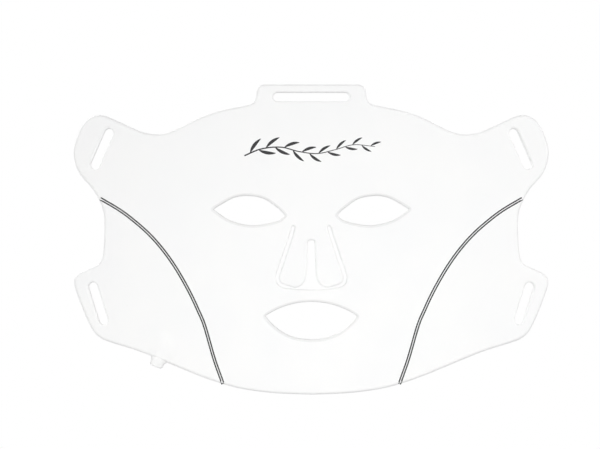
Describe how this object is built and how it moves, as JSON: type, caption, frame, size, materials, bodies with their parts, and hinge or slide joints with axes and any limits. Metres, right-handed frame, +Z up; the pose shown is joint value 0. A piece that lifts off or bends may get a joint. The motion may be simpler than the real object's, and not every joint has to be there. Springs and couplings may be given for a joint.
{
  "type": "led face mask",
  "caption": "Flexible silicone light-therapy face mask: flat white sheet with eye, nose and mouth openings, strap slots and LED strips inside.",
  "frame": {"origin": "on the rear face at the nose bridge, on the centre line just above the nose slot, where the mask bears on the wearer's nose", "axes": "+X to the viewer's right seen from the front, +Y from the front of the mask towards the wearer, +Z up"},
  "size_m": [0.3132, 0.0072, 0.2045],
  "materials": {
    "silicone_white": "matt white silicone",
    "silicone_clear": "clear milky silicone",
    "flex_circuit": "white solder mask on polyimide film",
    "led": "moulded LED package with a yellow lens",
    "contour_ink": "matt dark ink",
    "jack_metal": "nickel plate",
    "wire_sleeve": "extruded wire insulation"
  },
  "bodies": {
    "face_panel": {"contour_inlay_left_chin": "contour_ink", "contour_inlay_right_chin": "contour_ink", "flex_circuit_face": "flex_circuit", "front_skin_face": "silicone_white", "led_strip_chin_lower": "led", "led_strip_chin_upper": "led", "led_strip_forehead_bottom": "led", "led_strip_forehead_middle": "led", "led_strip_forehead_top": "led", "led_strip_left_beside_mouth": "led", "led_strip_left_beside_nose": "led", "led_strip_left_brow": "led", "led_strip_left_smile": "led", "led_strip_left_under_eye": "led", "led_strip_nose_bridge": "led", "led_strip_right_beside_mouth": "led", "led_strip_right_beside_nose": "led", "led_strip_right_brow": "led", "led_strip_right_smile": "led", "led_strip_right_under_eye": "led", "rear_skin_face": "silicone_clear"},
    "left_cheek": {"contour_inlay_left_cheek": "contour_ink", "flex_circuit_left_cheek": "flex_circuit", "front_skin_left_cheek": "silicone_white", "jack_barrel": "jack_metal", "jack_centre_pin": "jack_metal", "jack_spring_contact": "jack_metal", "lead_negative": "wire_sleeve", "lead_positive": "wire_sleeve", "led_strip_left_cheek_inner": "led", "led_strip_left_cheek_middle": "led", "led_strip_left_cheek_outer": "led", "rear_skin_left_cheek": "silicone_clear"},
    "right_cheek": {"contour_inlay_right_cheek": "contour_ink", "flex_circuit_right_cheek": "flex_circuit", "front_skin_right_cheek": "silicone_white", "led_strip_right_cheek_inner": "led", "led_strip_right_cheek_middle": "led", "led_strip_right_cheek_outer": "led", "rear_skin_right_cheek": "silicone_clear"},
    "left_temple": {"contour_inlay_left_temple": "contour_ink", "flex_circuit_left_temple": "flex_circuit", "front_skin_left_temple": "silicone_white", "led_strip_left_temple": "led", "rear_skin_left_temple": "silicone_clear"},
    "right_temple": {"contour_inlay_right_temple": "contour_ink", "flex_circuit_right_temple": "flex_circuit", "front_skin_right_temple": "silicone_white", "led_strip_right_temple": "led", "rear_skin_right_temple": "silicone_clear"},
    "top_tab": {"top_strap_tab": "silicone_white"},
    "left_nose_flap": {"left_nose_flap": "silicone_white"},
    "right_nose_flap": {"right_nose_flap": "silicone_white"}
  },
  "joints": [
    {"name": "left_cheek_bend", "type": "hinge", "parent": "face_panel", "child": "left_cheek", "pos_m": [-0.072, 0, 0], "axis": [0, 0, -1], "range_deg": [0, 45], "stiffness_Nm_per_rad": 0.05},
    {"name": "right_cheek_bend", "type": "hinge", "parent": "face_panel", "child": "right_cheek", "pos_m": [0.072, 0, 0], "axis": [0, 0, 1], "range_deg": [0, 45], "stiffness_Nm_per_rad": 0.05},
    {"name": "left_temple_bend", "type": "hinge", "parent": "left_cheek", "child": "left_temple", "pos_m": [-0.118, 0, 0], "axis": [0, 0, -1], "range_deg": [0, 40], "stiffness_Nm_per_rad": 0.05},
    {"name": "right_temple_bend", "type": "hinge", "parent": "right_cheek", "child": "right_temple", "pos_m": [0.118, 0, 0], "axis": [0, 0, 1], "range_deg": [0, 40], "stiffness_Nm_per_rad": 0.05},
    {"name": "top_tab_bend", "type": "hinge", "parent": "face_panel", "child": "top_tab", "pos_m": [0, 0, 0.0885], "axis": [-1, 0, 0], "range_deg": [0, 45], "stiffness_Nm_per_rad": 0.01},
    {"name": "left_nose_flap_bend", "type": "hinge", "parent": "face_panel", "child": "left_nose_flap", "pos_m": [-0.0023, -0.005, -0.0012], "axis": [-0.7033, 0, 0.7109], "range_deg": [0, 35], "stiffness_Nm_per_rad": 0.01},
    {"name": "right_nose_flap_bend", "type": "hinge", "parent": "face_panel", "child": "right_nose_flap", "pos_m": [0.0023, -0.005, -0.0012], "axis": [-0.7033, 0, -0.7109], "range_deg": [0, 35], "stiffness_Nm_per_rad": 0.01}
  ]
}
